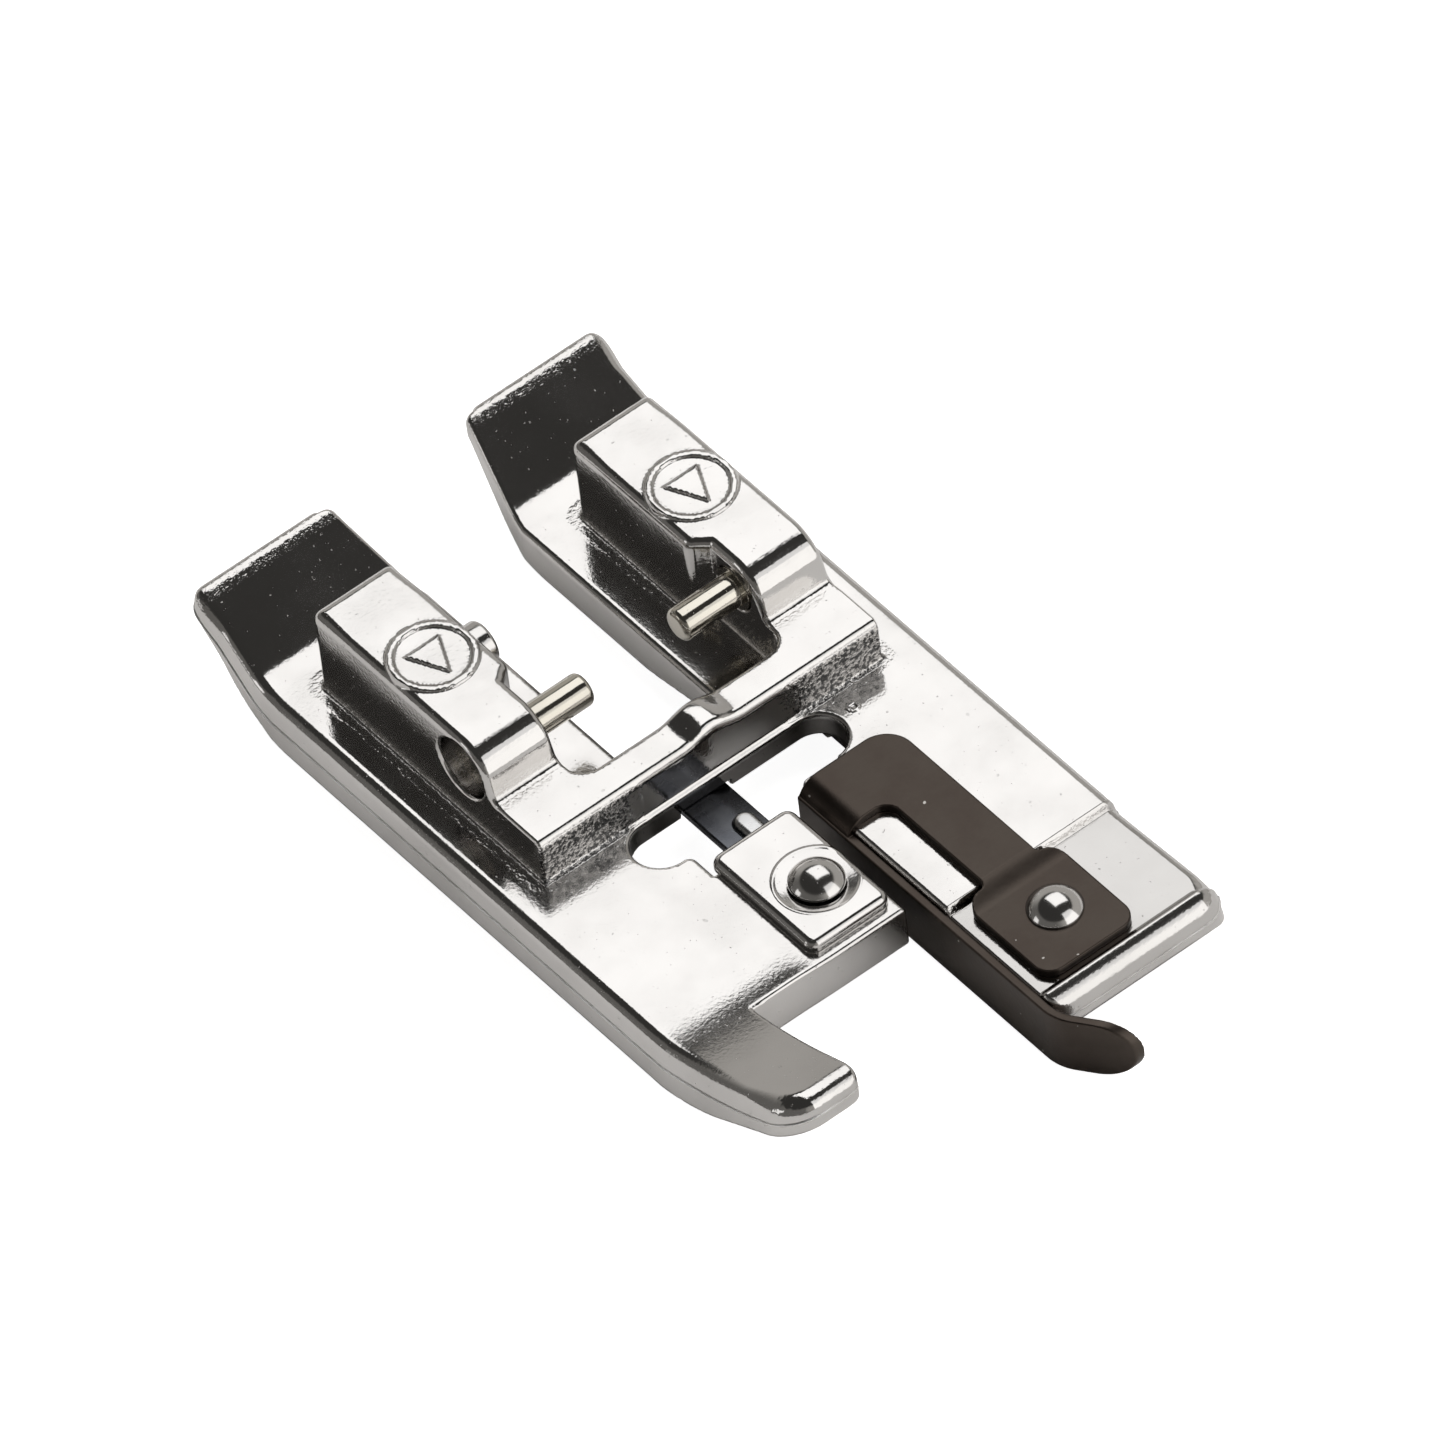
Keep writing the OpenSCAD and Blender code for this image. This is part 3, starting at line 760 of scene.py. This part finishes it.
def chrome(name, grain, rough=0.09, tint=(0.66, 0.645, 0.63, 1), cloud=(0.60, 0.585, 0.57, 1)):
    """Bright plating over a cast surface: smooth where it is open, grainy in the hollows, darkened
    by painted shade where a piece marks it.
    """
    shader = Shader(name)
    grainy = shader.add("Attribute", attribute_name="cavity").outputs["Fac"]
    hollow = shader.band(grainy, 0.02, 0.4)
    patches = shader.noise(0.3, 3)
    fine = shader.noise(6.2, 2)
    strength = shader.math("MULTIPLY_ADD", hollow, 4.2, shader.band(patches, 0.35, 0.7, 0.7, 1.3))
    strength = shader.math("MULTIPLY_ADD", shader.band(grainy, 1, 2), 6, strength)
    height = shader.math("MULTIPLY", fine, strength)
    pits = shader.band(shader.noise(3.5, 1), 0.225, 0.2)
    height = shader.math("SUBTRACT", height, shader.math("MULTIPLY", pits, 1.5))
    shader.bump(height, 0.0062 * grain)
    colour = shader.blend(shader.band(patches, 0.3, 0.75), tint, cloud)
    # painted shade: where the piece marks it, the base colour goes to a dark grey-brown inside the
    # opening, tunnel and recess
    inner = shader.add("Attribute", attribute_name="painted_shade").outputs["Fac"]
    colour = shader.blend(inner, colour, (0.17, 0.163, 0.155, 1))
    stain = shader.math("MULTIPLY", shader.band(grainy, 1, 2), shader.band(fine, 0.46, 0.58))
    shader.set(Metallic=1, Base_Color=shader.blend(stain, colour, (0.12, 0.12, 0.12, 1)))
    # tiny pits that scatter light show as pale specks on the dark heels
    specks = shader.band(shader.noise(6.5, 1), 0.75, 0.78, 0.0, 0.35)
    smooth = shader.band(patches, 0.3, 0.7, rough, rough + 0.06)
    shader.set(Roughness=shader.math("ADD", smooth, specks))
    return shader.material


def black_oxide(name, dark, light):
    """Oiled black oxide: warm, satin, mottled, with a few bright specks."""
    shader = Shader(name)
    clouds = shader.noise(0.45, 4)
    specks = shader.band(shader.noise(2.4, 1), 0.775, 0.79)
    colour = shader.blend(shader.band(clouds, 0.3, 0.7), dark, light)
    shader.set(Base_Color=shader.blend(specks, colour, (0.5, 0.48, 0.45, 1)))
    shader.set(Roughness=shader.band(clouds, 0.3, 0.75, 0.32, 0.42))
    shader.set(Metallic=1)
    shader.bump(shader.noise(5, 3), 0.004)
    return shader.material


def blued_steel(name):
    """Dark blued steel, worn bright along the crest of the rib."""
    shader = Shader(name)
    clouds = shader.noise(0.8, 3)
    height = shader.add("SeparateXYZ")
    shader.feed(height.inputs[0], shader.place)
    crest = (DATUM[2] + GROOVE_Z + RIB) * MM
    worn = shader.band(height.outputs["Z"], crest - 0.2 * MM, crest - 0.1 * MM)
    colour = shader.blend(shader.band(clouds, 0.3, 0.7), (0.10, 0.105, 0.12, 1),
                          (0.14, 0.146, 0.16, 1))
    shader.set(Base_Color=shader.blend(worn, colour, (0.62, 0.62, 0.62, 1)))
    shader.set(Roughness=shader.band(clouds, 0.3, 0.75, 0.24, 0.32), Metallic=1)
    shader.bump(shader.noise(5, 3), 0.003)
    return shader.material


def use(material, *pieces):
    """Gives the pieces one material."""
    for piece in pieces:
        piece.data.materials.clear()
        piece.data.materials.append(material)


use(chrome("chrome_on_casting", 1.0), body, side_stud)
use(chrome("chrome_on_parting_line", 6.0, 0.35, (0.9, 0.89, 0.88, 1)), parting_line)
use(chrome("chrome_on_plate", 0.5), plate)
use(chrome("chrome_on_rivets", 0.3, 0.11), *rivets)
use(chrome("pin_steel", 0.6, 0.09, (0.62, 0.59, 0.52, 1), (0.55, 0.52, 0.46, 1)), *pins)
use(black_oxide("black_oxide", (0.066, 0.053, 0.045, 1), (0.088, 0.073, 0.062, 1)), guide)
use(blued_steel("blued_steel"), finger)

# ------------------------------------------------------------------ studio


def floor(name, level, seen_by_camera, glow):
    """A plain floor that either the camera or the reflections see."""
    size = 3
    mesh = bpy.data.meshes.new(name)
    plan = [(-size, -size), (size, -size), (size, size), (-size, size)]
    mesh.from_pydata([(*spot, level) for spot in plan], [], [(0, 1, 2, 3)])
    plane = bpy.data.objects.new(name, mesh)
    bpy.context.collection.objects.link(plane)
    plane.visible_camera = seen_by_camera
    plane.visible_glossy = not seen_by_camera
    plane.visible_shadow = False
    plane.visible_diffuse = False
    shader = Shader(name)
    shader.set(Base_Color=(0.8, 0.79, 0.78, 1), Specular_IOR_Level=0.0)
    shader.set(Emission_Color=(1, 1, 1, 1), Emission_Strength=glow)
    mesh.materials.append(shader.material)


# the camera sees a bright floor, and the chrome a plain one with the foot's own shadow
floor("floor", 0, True, 0.93)
floor("floor_in_reflections", -0.0002, False, 0.0)


def area_light(name, at, towards, width, height, radiance):
    """A rectangular light of the given radiance, which the camera doesn't see."""
    data = bpy.data.lights.new(name, "AREA")
    data.shape = "RECTANGLE"
    data.size, data.size_y = width, height
    data.energy = radiance * math.pi * width * height
    light = bpy.data.objects.new(name, data)
    light.location = at
    light.rotation_euler = Vector(towards).to_track_quat("-Z", "Y").to_euler()
    bpy.context.collection.objects.link(light)
    light.visible_camera = False
    return light


# a softbox overhead and behind, a white card at the front, a small one at the left,
# and a fill that only the floor sees
area_light("softbox", (0.42, 0.36, 0.84), (0, 0, -1), 0.9, 0.9, 1.45)
area_light("front_card", (0.55, -1, 0.67), (0, 1, 0), 1.1, 1.33, 1.0)
fill = area_light("fill", (0.7, 0.3, 1.3), (-0.7, -0.3, -1.3), 1.4, 1.4, 2.2)
fill.visible_glossy = False
area_light("side_card", (-1, 0.38, 0.25), (1, -0.38, -0.2), 0.35, 0.3, 1.0)


def studio_world():
    """Dark overhead, with a grey ring above the horizon that fades out to the left."""
    world = bpy.data.worlds.new("studio")
    bpy.context.scene.world = world
    world.use_nodes = True
    tree = world.node_tree
    background = tree.nodes["Background"]

    def node(kind, *values, **settings):
        made = tree.nodes.new("ShaderNode" + kind)
        for key, value in settings.items():
            setattr(made, key, value)
        for socket, value in zip(made.inputs, values):
            if isinstance(value, bpy.types.NodeSocket):
                tree.links.new(value, socket)
            else:
                socket.default_value = value
        return made.outputs[0]

    place = tree.nodes.new("ShaderNodeTexCoord")
    split = tree.nodes.new("ShaderNodeSeparateXYZ")
    tree.links.new(place.outputs["Generated"], split.inputs[0])
    x, z = split.outputs["X"], split.outputs["Z"]
    low = node("MapRange", z, 0.62, 0.5, 0.0, 1.0, interpolation_type="SMOOTHSTEP")
    right = node("MapRange", x, -0.6, 0.1, 0.25, 1.0, interpolation_type="SMOOTHSTEP")
    ring = node("Math", low, right, operation="MULTIPLY")
    level = node("Math", ring, 0.43, 0.04, operation="MULTIPLY_ADD")
    tint = node("VectorMath", (1, 0.97, 0.92), operation="SCALE")
    scale = tint.node.inputs["Scale"]
    tree.links.new(level, scale)
    tree.links.new(tint, background.inputs["Color"])


studio_world()
bpy.context.scene.view_settings.view_transform = "Standard"
